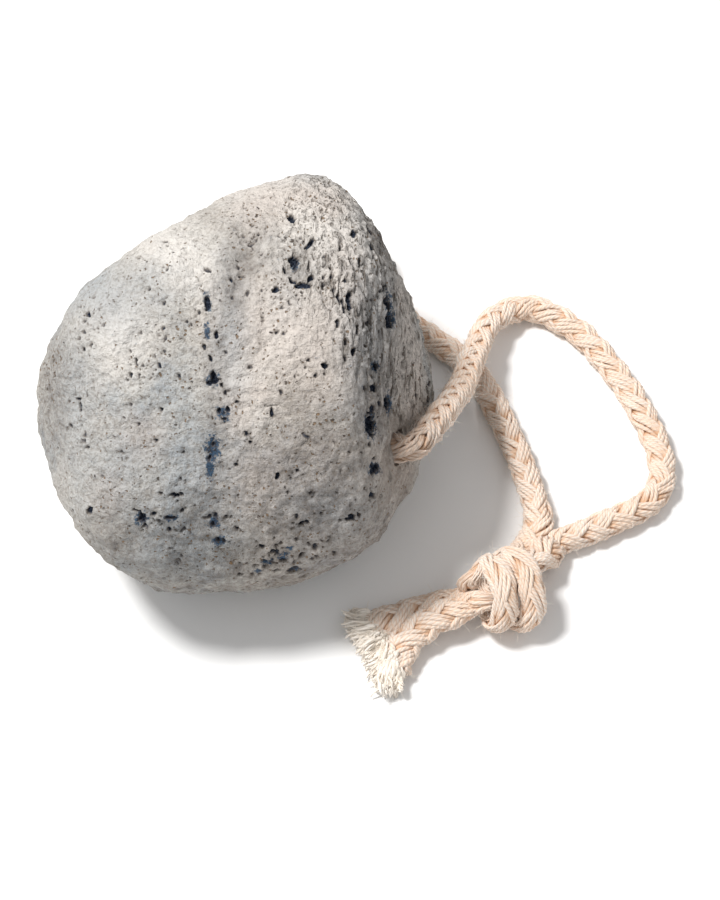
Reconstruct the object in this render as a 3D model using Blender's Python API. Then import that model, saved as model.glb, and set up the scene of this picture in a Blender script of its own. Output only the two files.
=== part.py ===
"""A pumice stone on a cord: a worn, pitted stone with a drilled hole, a braided cotton cord
threaded through the hole, and a knot that ties the cord's two strands together.

Metres, +Z up. The origin is on the surface that the stone rests on, under the stone's middle.
The stone's broad face looks up and forward (-Y), and the cord lies to its right (+X).
"""
import math
import random

import bmesh
import bpy
from mathutils import Matrix, Vector, noise

# ---- Stone: a soft intersection of flats. Each faces an azimuth and an elevation in degrees
# and lies so far from the stone's middle.
MIDDLE = Vector((0.0, 0.0, 0.0240))
ROUNDING = 11.0
FLATS = (
    ("far right shoulder", 56, 26, 0.0476),
    ("right shoulder", 27, 15, 0.0368),
    ("right side", 0, 0, 0.0396),
    ("right flank", -27, -15, 0.0404),
    ("right foot", -56, -26, 0.0392),
    ("front foot", -90, -30, 0.0397),
    ("left foot", -124, -26, 0.0427),
    ("left flank", -153, -15, 0.0390),
    ("left side", 180, 0, 0.0388),
    ("left shoulder", 153, 15, 0.0337),
    ("far left shoulder", 124, 26, 0.0311),
    ("far crest", 90, 30, 0.0410),
    ("front", -94, 61, 0.0338),
    ("low front", -88, 19, 0.0390),
    ("top", 90, 81, 0.0360),
    ("left front", -158, 33, 0.0378),
    ("right front", -14, 20, 0.0350),
    ("far side", 90, -10, 0.0350),
    ("far foot", 90, -48, 0.0335),
    ("far left foot", 138, -32, 0.0370),
    ("far right foot", 42, -32, 0.0390),
    ("right underside", 0, -55, 0.0335),
    ("left underside", 180, -55, 0.0335),
    ("front underside", -90, -62, 0.0335),
    ("rest", 0, -90, 0.0262),
)
STONE_SUBDIVISIONS = 5

# Broad lumps (+) and hollows (-): azimuth, elevation, angular size in degrees, height.
SWELLS = (
    ("right lobe", -3, 8, 15, 0.0008),
    ("crease behind the ridge", 12, 22, 9, -0.0009),
    ("upper trough", 100, 62, 13, -0.0009),
    ("lower trough", -130, 76, 12, -0.0005),
    ("low right hollow", -62, 12, 13, -0.0007),
    ("left dent", -146, -6, 12, -0.0006),
    ("far dent", 118, -6, 20, -0.0012),
    ("far lump", 70, 4, 18, 0.0010),
)
# Weathering: wavelength and height of each layer of unevenness.
WEATHERING = ((0.0230, 0.0011), (0.0090, 0.0006), (0.0052, 0.0003))

# Pits on the broad face: steps across and up a plane through the stone's middle that lies as
# that face does, then the pit's width, length and depth. Lines from a point over the face
# through the plane mark the pits on the surface.
FACE_SLOPE = math.radians(60)
FACE_RIGHT = Vector((1, 0, 0))
FACE_UP = Vector((0, math.sin(FACE_SLOPE), math.cos(FACE_SLOPE)))
FACE_OUT = FACE_RIGHT.cross(FACE_UP)
OVER_FACE = FACE_RIGHT * 0.0229 - FACE_UP * 0.0121 + FACE_OUT * 0.4660
FACE_PITS = (
    (-0.0053, 0.0144, 0.0013, 0.0036, 0.0016),
    (-0.0040, 0.0015, 0.0016, 0.0026, 0.0018),
    (-0.0038, -0.0115, 0.0024, 0.0046, 0.0014),
    (-0.0026, -0.0047, 0.0024, 0.0024, 0.0013),
    (0.0102, 0.0305, 0.0017, 0.0025, 0.0016),
    (0.0105, 0.0220, 0.0020, 0.0020, 0.0020),
    (0.0119, 0.0186, 0.0040, 0.0019, 0.0022),
    (0.0069, 0.0170, 0.0017, 0.0017, 0.0014),
    (0.0183, 0.0153, 0.0011, 0.0028, 0.0013),
    (0.0204, 0.0153, 0.0012, 0.0042, 0.0015),
    (0.0274, 0.0140, 0.0015, 0.0080, 0.0016),
    (0.0210, 0.0058, 0.0016, 0.0020, 0.0015),
    (0.0155, 0.0031, 0.0015, 0.0019, 0.0016),
    (0.0245, -0.0072, 0.0019, 0.0058, 0.0022),
    (0.0279, -0.0040, 0.0016, 0.0048, 0.0017),
    (0.0250, -0.0153, 0.0024, 0.0020, 0.0016),
    (0.0206, -0.0240, 0.0020, 0.0012, 0.0012),
    (0.0119, -0.0250, 0.0021, 0.0014, 0.0013),
    (-0.0112, -0.0200, 0.0016, 0.0013, 0.0012),
    (-0.0171, -0.0238, 0.0016, 0.0020, 0.0014),
    (-0.0120, -0.0238, 0.0023, 0.0011, 0.0011),
    (-0.0029, -0.0280, 0.0016, 0.0016, 0.0013),
    (-0.0043, -0.0253, 0.0016, 0.0016, 0.0012),
    (0.0074, -0.0165, 0.0011, 0.0019, 0.0012),
    (-0.0288, -0.0036, 0.0011, 0.0026, 0.0013),
    (-0.0258, 0.0106, 0.0018, 0.0015, 0.0014),
    (-0.0278, 0.0121, 0.0015, 0.0016, 0.0013),
    (-0.0144, 0.0037, 0.0011, 0.0013, 0.0011),
    (-0.0193, 0.0020, 0.0012, 0.0012, 0.0011),
    (0.0031, 0.0292, 0.0016, 0.0016, 0.0014),
    (0.0031, 0.0258, 0.0012, 0.0013, 0.0011),
    (0.0172, -0.0063, 0.0024, 0.0015, 0.0008),
    (0.0325, -0.0020, 0.0016, 0.0020, 0.0014),
    (0.0352, -0.0030, 0.0015, 0.0020, 0.0013),
    (0.0083, 0.0140, 0.0012, 0.0012, 0.0011),
    (0.0252, 0.0247, 0.0015, 0.0012, 0.0012),
)
SCATTERED_PITS = 32
SCATTERED_PIT_SIZE = (0.0010, 0.0025)
PIT_SEED = 7

# ---- Hole: drilled from the far side into a hollow that opens in the right face.
NEAR_MOUTH = Vector((0.0268, -0.0150, 0.0321))
FAR_MOUTH = Vector((0.0129, 0.0355, 0.0273))
HOLE_DIAMETER = 0.0074
HOLE_SIDES = 20
HOLLOW_MIDDLE = Vector((0.0292, -0.0169, 0.0321))
HOLLOW_SIZE = Vector((0.0059, 0.0048, 0.0046))
FAR_RIM_MIDDLE = Vector((0.0128, 0.0368, 0.0272))
FAR_RIM_SIZE = Vector((0.0050, 0.0050, 0.0050))

# ---- Cord: its route lies on the surface wherever nothing carries it. The strands meet
# inside the hole.
CORD_DIAMETER = 0.0052
CORD_GAP = 0.0003
CORD_STEP = 0.0040
CORD_SIDE_RESOLUTION = 2
LYING = CORD_DIAMETER / 2
STRANDS_MEET = NEAR_MOUTH.lerp(FAR_MOUTH, 0.45)
NEAR_ROUTE = (
    (0.0266, -0.0143, 0.0321), (0.0269, -0.0164, 0.0323), (0.0280, -0.0179, 0.0324),
    (0.0299, -0.0185, 0.0323), (0.0319, -0.0182, 0.0320), (0.0335, -0.0168, 0.0313),
    (0.0354, -0.0136, 0.0299), (0.0375, -0.0091, 0.0273),
    (0.0396, -0.0039, 0.0236), (0.0409, -0.0006, 0.0212), (0.0423, 0.0042, 0.0172),
    (0.0437, 0.0102, 0.0128), (0.0451, 0.0159, 0.0094), (0.0463, 0.0199, 0.0076),
    (0.0474, 0.0233, 0.0064), (0.0487, 0.0258, 0.0053), (0.0508, 0.0283, 0.0042),
    (0.0537, 0.0303, 0.0032), (0.0569, 0.0309, 0.0027), (0.0600, 0.0300, LYING),
    (0.0632, 0.0280, LYING), (0.0667, 0.0250, LYING), (0.0699, 0.0212, LYING),
    (0.0728, 0.0166, LYING), (0.0754, 0.0120, LYING), (0.0776, 0.0074, LYING),
    (0.0794, 0.0029, LYING), (0.0807, -0.0016, LYING), (0.0812, -0.0060, LYING),
    (0.0802, -0.0104, LYING), (0.0768, -0.0142, LYING), (0.0726, -0.0165, LYING),
    (0.0687, -0.0184, LYING), (0.0650, -0.0200, LYING), (0.0619, -0.0212, LYING),
    (0.0599, -0.0225, LYING), (0.0585, -0.0247, 0.0027),
)
FAR_ROUTE = (
    (0.0123, 0.0374, 0.0270), (0.0122, 0.0403, 0.0260), (0.0137, 0.0428, 0.0236),
    (0.0166, 0.0443, 0.0196), (0.0202, 0.0443, 0.0148), (0.0235, 0.0428, 0.0100),
    (0.0257, 0.0403, 0.0062), (0.0266, 0.0373, 0.0040), (0.0275, 0.0339, 0.0029),
    (0.0294, 0.0309, LYING), (0.0324, 0.0279, LYING), (0.0358, 0.0250, LYING),
    (0.0388, 0.0226, LYING), (0.0415, 0.0203, LYING), (0.0440, 0.0176, LYING),
    (0.0465, 0.0138, LYING), (0.0486, 0.0096, LYING), (0.0506, 0.0050, LYING),
    (0.0523, 0.0005, LYING), (0.0538, -0.0040, LYING), (0.0551, -0.0083, LYING),
    (0.0562, -0.0125, LYING), (0.0564, -0.0159, LYING), (0.0554, -0.0191, LYING),
    (0.0535, -0.0224, LYING),
)

# Sections of the knot and of the two tails, in the order in which the cord goes through
# them: middle x, y, z, the way the cord heads there in degrees, half width, half height.
KNOT_SECTIONS = (
    (0.0556, -0.0242, 0.0028, -118, 0.0053, 0.0026),
    (0.0549, -0.0254, 0.0038, -118, 0.0055, 0.0035),
    (0.0538, -0.0276, 0.0056, -120, 0.0056, 0.0053),
    (0.0524, -0.0308, 0.0070, -125, 0.0064, 0.0068),
    (0.0510, -0.0339, 0.0067, -132, 0.0066, 0.0063),
    (0.0489, -0.0360, 0.0068, -142, 0.0069, 0.0066),
    (0.0467, -0.0365, 0.0056, -155, 0.0061, 0.0053),
    (0.0450, -0.0361, 0.0045, -162, 0.0054, 0.0042),
    (0.0438, -0.0357, 0.0040, -164, 0.0050, 0.0037),
)
KNOT_SIDES = 18
UPPER_TAIL_SECTIONS = (
    (0.0427, -0.0333, 0.0024, -164, 0.0022, 0.0023),
    (0.0384, -0.0342, LYING, -165, 0.0023, 0.0024),
    (0.0341, -0.0354, LYING, -162, 0.0026, 0.0026),
    (0.0306, -0.0368, LYING, -162, 0.0027, 0.0026),
    (0.0270, -0.0381, LYING, -164, 0.0030, 0.0025),
    (0.0238, -0.0388, 0.0024, -170, 0.0034, 0.0023),
    (0.0206, -0.0390, 0.0022, -172, 0.0039, 0.0021),
)
LOWER_TAIL_SECTIONS = (
    (0.0437, -0.0369, 0.0053, -160, 0.0021, 0.0021),
    (0.0406, -0.0378, 0.0051, -158, 0.0022, 0.0022),
    (0.0378, -0.0390, 0.0046, -154, 0.0022, 0.0022),
    (0.0352, -0.0403, 0.0038, -148, 0.0024, 0.0024),
    (0.0328, -0.0420, 0.0030, -138, 0.0026, 0.0026),
    (0.0310, -0.0441, LYING, -126, 0.0027, 0.0026),
    (0.0298, -0.0466, LYING, -115, 0.0029, 0.0025),
    (0.0289, -0.0495, 0.0024, -108, 0.0033, 0.0023),
    (0.0282, -0.0527, 0.0022, -103, 0.0038, 0.0021),
)
TAIL_SIDES = 10
RINGS_PER_SECTION = 2


def direction(azimuth, elevation):
    """Unit vector that faces an azimuth and an elevation given in degrees."""
    around = math.radians(azimuth)
    rise = math.radians(elevation)
    return Vector((math.cos(around) * math.cos(rise), math.sin(around) * math.cos(rise), math.sin(rise)))


FLAT_FACINGS = [(direction(azimuth, elevation), distance) for _, azimuth, elevation, distance in FLATS]
SWELL_FACINGS = [(direction(azimuth, elevation), math.radians(size), height)
                 for _, azimuth, elevation, size, height in SWELLS]


def stone_radius(facing):
    """Distance from the stone's middle to its surface in a direction."""
    total = sum((max(facing.dot(flat), 0.0) / distance) ** ROUNDING for flat, distance in FLAT_FACINGS)
    radius = total ** (-1.0 / ROUNDING)
    for swell, size, height in SWELL_FACINGS:
        radius += height * math.exp(-(facing.angle(swell) / size) ** 2)
    for wavelength, height in WEATHERING:
        radius += height * noise.noise(facing * radius / wavelength)
    return radius


def face_point(across, up):
    """Direction from the stone's middle to the surface above a place on the broad face."""
    start = FACE_RIGHT * across + FACE_UP * up
    way = (OVER_FACE - start).normalized()
    inner = 0.0
    outer = 0.06
    while outer - inner > 0.00005:
        out = (inner + outer) / 2
        place = start + way * out
        if place.length < stone_radius(place.normalized()):
            inner = out
        else:
            outer = out
    return place.normalized()


def clear_scene():
    for item in list(bpy.data.objects):
        bpy.data.objects.remove(item, do_unlink=True)


def material(name, colour, roughness):
    made = bpy.data.materials.new(name)
    made.use_nodes = True
    shader = made.node_tree.nodes["Principled BSDF"]
    shader.inputs["Base Color"].default_value = (*colour, 1.0)
    shader.inputs["Roughness"].default_value = roughness
    made.diffuse_color = (*colour, 1.0)
    return made


def add_object(name, data, finish=None):
    made = bpy.data.objects.new(name, data)
    if finish:
        made.data.materials.append(finish)
    bpy.context.collection.objects.link(made)
    return made


def mesh_from(body, name):
    bmesh.ops.recalc_face_normals(body, faces=body.faces)
    mesh = bpy.data.meshes.new(name)
    body.to_mesh(mesh)
    body.free()
    return mesh


def stone_mesh():
    """The whole stone, with the flat that it rests on, before its pits and hole are cut."""
    body = bmesh.new()
    bmesh.ops.create_icosphere(body, subdivisions=STONE_SUBDIVISIONS, radius=1.0)
    for vert in body.verts:
        facing = vert.co.normalized()
        vert.co = MIDDLE + facing * stone_radius(facing)
    everything = body.verts[:] + body.edges[:] + body.faces[:]
    cut = bmesh.ops.bisect_plane(body, geom=everything, plane_co=(0, 0, 0), plane_no=(0, 0, 1),
                                 clear_inner=True)
    rim = [item for item in cut["geom_cut"] if isinstance(item, bmesh.types.BMEdge)]
    bmesh.ops.contextual_create(body, geom=rim)
    return mesh_from(body, "stone")


def add_pit(body, facing, width, length, depth):
    """An ellipsoid that dips below the surface by depth, its length turned up the stone."""
    middle = MIDDLE + facing * stone_radius(facing)
    across = FACE_UP.cross(facing).normalized()
    along = facing.cross(across)
    turn = Matrix((across, along, facing)).transposed().to_4x4()
    size = Matrix.Diagonal((width / 2, length / 2, depth, 1.0))
    bmesh.ops.create_icosphere(body, subdivisions=1, radius=1.0,
                               matrix=Matrix.Translation(middle) @ turn @ size)


def scattered_facings(dice):
    """Directions spread evenly over the sides that the broad face doesn't cover."""
    golden = math.pi * (3 - math.sqrt(5))
    tries = SCATTERED_PITS * 3
    made = []
    for step in range(tries):
        height = 1 - 2 * (step + 0.5) / tries
        around = golden * step + dice.uniform(-0.12, 0.12)
        flat = math.sqrt(1 - height * height)
        facing = Vector((flat * math.cos(around), flat * math.sin(around), height))
        clear_of_holes = all((MIDDLE + facing * 0.036 - mouth).length > 0.012
                             for mouth in (NEAR_MOUTH, FAR_MOUTH))
        if facing.dot(FACE_OUT) < 0.05 and facing.z > -0.55 and clear_of_holes:
            made.append(facing)
    return made[:SCATTERED_PITS]


def pit_cutters():
    dice = random.Random(PIT_SEED)
    body = bmesh.new()
    for across, up, width, length, depth in FACE_PITS:
        add_pit(body, face_point(across, up), width, length, depth)
    for facing in scattered_facings(dice):
        width = dice.uniform(*SCATTERED_PIT_SIZE)
        add_pit(body, facing, width, width * dice.uniform(0.9, 1.7), width * dice.uniform(0.5, 0.8))
    return mesh_from(body, "pits")


def hole_cutter():
    """A cylinder from the hollow's middle to well outside the far mouth."""
    body = bmesh.new()
    way = (FAR_MOUTH - NEAR_MOUTH) * 1.25
    turn = way.to_track_quat("Z", "Y").to_matrix().to_4x4()
    bmesh.ops.create_cone(body, cap_ends=True, segments=HOLE_SIDES, radius1=HOLE_DIAMETER / 2,
                          radius2=HOLE_DIAMETER / 2, depth=way.length,
                          matrix=Matrix.Translation(NEAR_MOUTH + way / 2) @ turn)
    return mesh_from(body, "hole")


def rim_cutter(middle, size):
    body = bmesh.new()
    bmesh.ops.create_icosphere(body, subdivisions=2, radius=1.0,
                               matrix=Matrix.Translation(middle) @ Matrix.Diagonal((*size, 1.0)))
    return mesh_from(body, "rim")


def cut(piece, name, mesh):
    cutter = add_object(name, mesh)
    cutter.hide_render = True
    cutter.display_type = "WIRE"
    boolean = piece.modifiers.new(name, "BOOLEAN")
    boolean.operation = "DIFFERENCE"
    boolean.solver = "EXACT"
    boolean.object = cutter


def make_stone():
    pumice = material("pumice", (0.62, 0.60, 0.57), 0.95)
    stone = add_object("stone", stone_mesh(), pumice)
    cut(stone, "hollow_cutter", rim_cutter(HOLLOW_MIDDLE, HOLLOW_SIZE))
    cut(stone, "far_rim_cutter", rim_cutter(FAR_RIM_MIDDLE, FAR_RIM_SIZE))
    cut(stone, "hole_cutter", hole_cutter())
    cut(stone, "pit_cutters", pit_cutters())


def smooth_points(route, step):
    """Points a step apart along a smooth curve through a route's own points."""
    points = [Vector(place) for place in route]
    padded = [points[0] * 2 - points[1]] + points + [points[-1] * 2 - points[-2]]
    fine = []
    pieces = 12
    for before, start, end, after in zip(padded, padded[1:], padded[2:], padded[3:]):
        for piece in range(pieces):
            t = piece / pieces
            bend = 2 * start + (end - before) * t
            bend += (2 * before - 5 * start + 4 * end - after) * t ** 2
            bend += (3 * start - before - 3 * end + after) * t ** 3
            fine.append(bend / 2)
    fine.append(points[-1])
    reach = [0.0]
    for here, there in zip(fine, fine[1:]):
        reach.append(reach[-1] + (there - here).length)
    count = max(2, round(reach[-1] / step))
    read = []
    place = 0
    for index in range(count + 1):
        target = reach[-1] * index / count
        while place < len(fine) - 2 and reach[place + 1] < target:
            place += 1
        share = (target - reach[place]) / (reach[place + 1] - reach[place])
        read.append(fine[place].lerp(fine[place + 1], share))
    return read


def make_cord(name, route, finish):
    curve = bpy.data.curves.new(name, "CURVE")
    curve.dimensions = "3D"
    curve.bevel_depth = CORD_DIAMETER / 2
    curve.bevel_resolution = CORD_SIDE_RESOLUTION
    curve.use_fill_caps = True
    points = smooth_points(route, CORD_STEP)
    spline = curve.splines.new("POLY")
    spline.points.add(len(points) - 1)
    for point, place in zip(spline.points, points):
        point.co = (*place, 1.0)
    return add_object(name, curve, finish)


def blended_section(sections, place):
    """Middle, heading, half width and half height at a place from 0, the first, to 1, the last."""
    spot = place * (len(sections) - 1)
    index = min(int(spot), len(sections) - 2)
    before, start = sections[max(index - 1, 0)], sections[index]
    end, after = sections[index + 1], sections[min(index + 2, len(sections) - 1)]
    t = spot - index
    read = []
    for a, b, c, d in zip(before, start, end, after):
        bend = 2 * b + (c - a) * t + (2 * a - 5 * b + 4 * c - d) * t ** 2
        read.append((bend + (3 * b - a - 3 * c + d) * t ** 3) / 2)
    return Vector(read[:3]), read[3], read[4], read[5]


def make_loft(name, sections, sides, finish):
    """A closed solid through upright elliptical sections."""
    body = bmesh.new()
    rings = (len(sections) - 1) * RINGS_PER_SECTION
    loops = []
    for ring in range(rings + 1):
        middle, heading, half_width, half_height = blended_section(sections, ring / rings)
        right = direction(heading, 0).cross(Vector((0, 0, 1)))
        loop = []
        for side in range(sides):
            turn = 2 * math.pi * side / sides
            rise = Vector((0, 0, half_height * math.sin(turn)))
            loop.append(body.verts.new(middle + right * (half_width * math.cos(turn)) + rise))
        edges = [body.edges.new((loop[side - 1], loop[side])) for side in range(sides)]
        loops.append((loop, edges))
    for (_, low), (_, high) in zip(loops, loops[1:]):
        bmesh.ops.bridge_loops(body, edges=low + high)
    body.faces.new(loops[0][0])
    body.faces.new(loops[-1][0])
    return add_object(name, mesh_from(body, name), finish)


def make_cords():
    cotton = material("cotton", (0.85, 0.74, 0.62), 0.9)
    half_gap = (NEAR_MOUTH - FAR_MOUTH).normalized() * (CORD_GAP / 2)
    make_cord("cord_near_run", (STRANDS_MEET + half_gap, *NEAR_ROUTE), cotton)
    make_cord("cord_far_run", (STRANDS_MEET - half_gap, *FAR_ROUTE), cotton)
    make_loft("cord_knot", KNOT_SECTIONS, KNOT_SIDES, cotton)
    make_loft("cord_upper_tail", UPPER_TAIL_SECTIONS, TAIL_SIDES, cotton)
    make_loft("cord_lower_tail", LOWER_TAIL_SECTIONS, TAIL_SIDES, cotton)


def main():
    clear_scene()
    make_stone()
    make_cords()


main()
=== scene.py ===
"""The looks of the pumice stone on its braided cotton cord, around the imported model."""
import math
import random

import bmesh
import bpy
import numpy as np
from mathutils import Matrix, Vector, noise
from mathutils.bvhtree import BVHTree
from mathutils.kdtree import KDTree


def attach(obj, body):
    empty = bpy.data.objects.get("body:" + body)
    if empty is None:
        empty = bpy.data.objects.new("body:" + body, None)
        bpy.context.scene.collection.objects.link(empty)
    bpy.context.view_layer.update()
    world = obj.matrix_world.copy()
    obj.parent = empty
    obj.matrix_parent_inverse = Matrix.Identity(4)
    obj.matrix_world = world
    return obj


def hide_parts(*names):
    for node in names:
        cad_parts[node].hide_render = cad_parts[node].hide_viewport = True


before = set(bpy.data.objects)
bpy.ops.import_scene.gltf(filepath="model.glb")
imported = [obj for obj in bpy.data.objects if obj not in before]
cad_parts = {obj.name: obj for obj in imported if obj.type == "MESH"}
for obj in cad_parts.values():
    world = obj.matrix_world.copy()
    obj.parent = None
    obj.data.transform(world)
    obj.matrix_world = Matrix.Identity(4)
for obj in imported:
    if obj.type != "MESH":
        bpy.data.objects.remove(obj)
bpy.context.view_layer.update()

# ---- View: the photograph's, from the front and 60 degrees above the table.
VIEW_SIZE = (720, 900)
VIEW_SLOPE = math.radians(60)
VIEW_DISTANCE = 0.466
VIEW_LENS = 100.0
VIEW_SENSOR = 36.0
VIEW_AIM = Vector((0.0229, -0.0105, 0.0179))
VIEW_RIGHT = Vector((1, 0, 0))
VIEW_UP = Vector((0, math.sin(VIEW_SLOPE), math.cos(VIEW_SLOPE)))
VIEW_OUT = VIEW_RIGHT.cross(VIEW_UP)
VIEW_PLACE = VIEW_AIM + VIEW_OUT * VIEW_DISTANCE
TO_VIEW = np.array(VIEW_OUT)
UNITS_PER_MM = 0.001 * VIEW_LENS / VIEW_SENSOR * VIEW_SIZE[1] / (VIEW_DISTANCE - 0.01)

# ---- Light: a soft key lamp under a white sky, over a plain floor.
KEY_PLACE = (-0.44, 0.13, 1.02)
KEY_TARGET = (0.0, 0.0, 0.02)
KEY_SIZE = 0.26
KEY_POWER = 13.6
KEY_COLOUR = (1.0, 0.99, 0.975)
SKY_STRENGTH = 0.52
FLOOR_COLOUR = (0.93, 0.93, 0.93, 1.0)
FLOOR_REACH = 3.0

# ---- Stone, as in the CAD source: flats by azimuth, elevation and distance from the middle.
MIDDLE = Vector((0.0, 0.0, 0.0240))
ROUNDING = 11.0
FLATS = (
    ("far right shoulder", 56, 26, 0.0476),
    ("right shoulder", 27, 15, 0.0368),
    ("right side", 0, 0, 0.0396),
    ("right flank", -27, -15, 0.0404),
    ("right foot", -56, -26, 0.0392),
    ("front foot", -90, -30, 0.0397),
    ("left foot", -124, -26, 0.0427),
    ("left flank", -153, -15, 0.0390),
    ("left side", 180, 0, 0.0388),
    ("left shoulder", 153, 15, 0.0337),
    ("far left shoulder", 124, 26, 0.0311),
    ("far crest", 90, 30, 0.0410),
    ("front", -94, 61, 0.0338),
    ("low front", -88, 19, 0.0390),
    ("top", 90, 81, 0.0360),
    ("left front", -158, 33, 0.0378),
    ("right front", -14, 20, 0.0350),
    ("far side", 90, -10, 0.0350),
    ("far foot", 90, -48, 0.0335),
    ("far left foot", 138, -32, 0.0370),
    ("far right foot", 42, -32, 0.0390),
    ("right underside", 0, -55, 0.0335),
    ("left underside", 180, -55, 0.0335),
    ("front underside", -90, -62, 0.0335),
    ("rest", 0, -90, 0.0262),
)
# Swells and hollows: azimuth, elevation, size in degrees, and height.
SWELLS = (
    ("right lobe", -3, 8, 15, 0.0008),
    ("crease behind the ridge", 12, 22, 9, -0.0009),
    ("upper trough", 100, 62, 13, -0.0009),
    ("lower trough", -130, 76, 12, -0.0005),
    ("low right hollow", -62, 12, 13, -0.0007),
    ("left dent", -146, -6, 12, -0.0006),
    ("far dent", 118, -6, 20, -0.0012),
    ("far lump", 70, 4, 18, 0.0010),
)
# The weathering, and the finer relief that only the looks have: wavelengths and heights.
WEATHERING = ((0.0230, 0.0011), (0.0090, 0.0006), (0.0052, 0.0003))
RELIEF = ((0.0040, 0.00046), (0.0020, 0.00038), (0.0011, 0.00026), (0.0006, 0.00010))
FACE_TILT = math.radians(-30)
GROOVE_SPACING = 0.0050
GROOVE_DEPTH = 0.00030
GROOVE_WIDTH = 0.05
GROOVE_PATCH = 0.009
# The right shoulder is drawn out into streaks.
STREAK_FACING = (16, 26)
STREAK_EDGE = 0.60
STREAK_FADE = 0.22
STREAK_WIDTH = 0.0011
STREAK_LENGTH = 0.0060
STREAK_HEIGHT = 0.00075
STREAK_BEND = 0.0012
BEND_LENGTH = 0.005
SLIT_DEPTH = 0.7
SLIT_WIDTH = 0.12

# ---- Hole and cord, as in the CAD source.
NEAR_MOUTH = Vector((0.0268, -0.0150, 0.0321))
FAR_MOUTH = Vector((0.0129, 0.0355, 0.0273))
HOLE_DIAMETER = 0.0074
# The painted pit shade on the hole's wall.
HOLE_WALL_SHADE = 0.24
HOLLOW_MIDDLE = Vector((0.0297, -0.0179, 0.0316))
HOLLOW_SIZE = Vector((0.0054, 0.0033, 0.0030))
FAR_RIM_MIDDLE = Vector((0.0128, 0.0368, 0.0272))
FAR_RIM_SIZE = Vector((0.0050, 0.0050, 0.0050))
CORD_DIAMETER = 0.0052
LYING = CORD_DIAMETER / 2
STRANDS_MEET = tuple(NEAR_MOUTH.lerp(FAR_MOUTH, 0.45))
NEAR_ROUTE = (
    (0.0266, -0.0143, 0.0321), (0.0269, -0.0164, 0.0323), (0.0280, -0.0179, 0.0324),
    (0.0299, -0.0185, 0.0323), (0.0319, -0.0182, 0.0320), (0.0335, -0.0168, 0.0313),
    (0.0354, -0.0136, 0.0299), (0.0375, -0.0091, 0.0273),
    (0.0396, -0.0039, 0.0236), (0.0409, -0.0006, 0.0212), (0.0423, 0.0042, 0.0172),
    (0.0437, 0.0102, 0.0128), (0.0451, 0.0159, 0.0094), (0.0463, 0.0199, 0.0076),
    (0.0474, 0.0233, 0.0064), (0.0487, 0.0258, 0.0053), (0.0508, 0.0283, 0.0042),
    (0.0537, 0.0303, 0.0032), (0.0569, 0.0309, 0.0027), (0.0600, 0.0300, LYING),
    (0.0632, 0.0280, LYING), (0.0667, 0.0250, LYING), (0.0699, 0.0212, LYING),
    (0.0728, 0.0166, LYING), (0.0754, 0.0120, LYING), (0.0776, 0.0074, LYING),
    (0.0794, 0.0029, LYING), (0.0807, -0.0016, LYING), (0.0812, -0.0060, LYING),
    (0.0802, -0.0104, LYING), (0.0768, -0.0142, LYING), (0.0726, -0.0165, LYING),
    (0.0687, -0.0184, LYING), (0.0650, -0.0200, LYING), (0.0619, -0.0212, LYING),
    (0.0599, -0.0225, LYING), (0.0585, -0.0247, 0.0027),
)
FAR_ROUTE = (
    (0.0123, 0.0374, 0.0270), (0.0122, 0.0403, 0.0260), (0.0137, 0.0428, 0.0236),
    (0.0166, 0.0443, 0.0196), (0.0202, 0.0443, 0.0148), (0.0235, 0.0428, 0.0100),
    (0.0257, 0.0403, 0.0062), (0.0266, 0.0373, 0.0040), (0.0275, 0.0339, 0.0029),
    (0.0294, 0.0309, LYING), (0.0324, 0.0279, LYING), (0.0358, 0.0250, LYING),
    (0.0388, 0.0226, LYING), (0.0415, 0.0203, LYING), (0.0440, 0.0176, LYING),
    (0.0465, 0.0138, LYING), (0.0486, 0.0096, LYING), (0.0506, 0.0050, LYING),
    (0.0523, 0.0005, LYING), (0.0538, -0.0040, LYING), (0.0551, -0.0083, LYING),
    (0.0562, -0.0125, LYING), (0.0564, -0.0159, LYING), (0.0554, -0.0191, LYING),
    (0.0535, -0.0224, LYING),
)

# The knot's two wraps turn round its axis. Each point of a strand's way through the knot
# and its tail gives the place, then how much wider and how much flatter the squeezed cord is.
KNOT_MIDDLE = Vector((0.0505, -0.0342, 0.0069))
KNOT_AXIS = Vector((-0.95, -0.27, 0.155)).normalized()
KNOT_UP = (VIEW_UP - KNOT_AXIS * VIEW_UP.dot(KNOT_AXIS)).normalized()
KNOT_FRONT = KNOT_UP.cross(KNOT_AXIS)
KNOT_REACH = 0.0095
WRAP_DEPTH = 0.0050
WRAP_SQUEEZE = (0.96, 0.66)
RIGHT_WRAP_HEIGHT = 0.0066
LEFT_WRAP_HEIGHT = 0.0057


def in_knot(along, up, front, width, height):
    """A point of the knot: steps along its axis, up and to the front, in metres."""
    return (*(KNOT_MIDDLE + KNOT_AXIS * along + KNOT_UP * up + KNOT_FRONT * front), width, height)


def wrap(tall, stations):
    """A wrap's points: each turns some degrees from the top over the front, and lies a step along."""
    made = []
    for turn, along in stations:
        around = math.radians(turn)
        made.append(in_knot(along, tall * math.cos(around), WRAP_DEPTH * math.sin(around), *WRAP_SQUEEZE))
    return made


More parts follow.
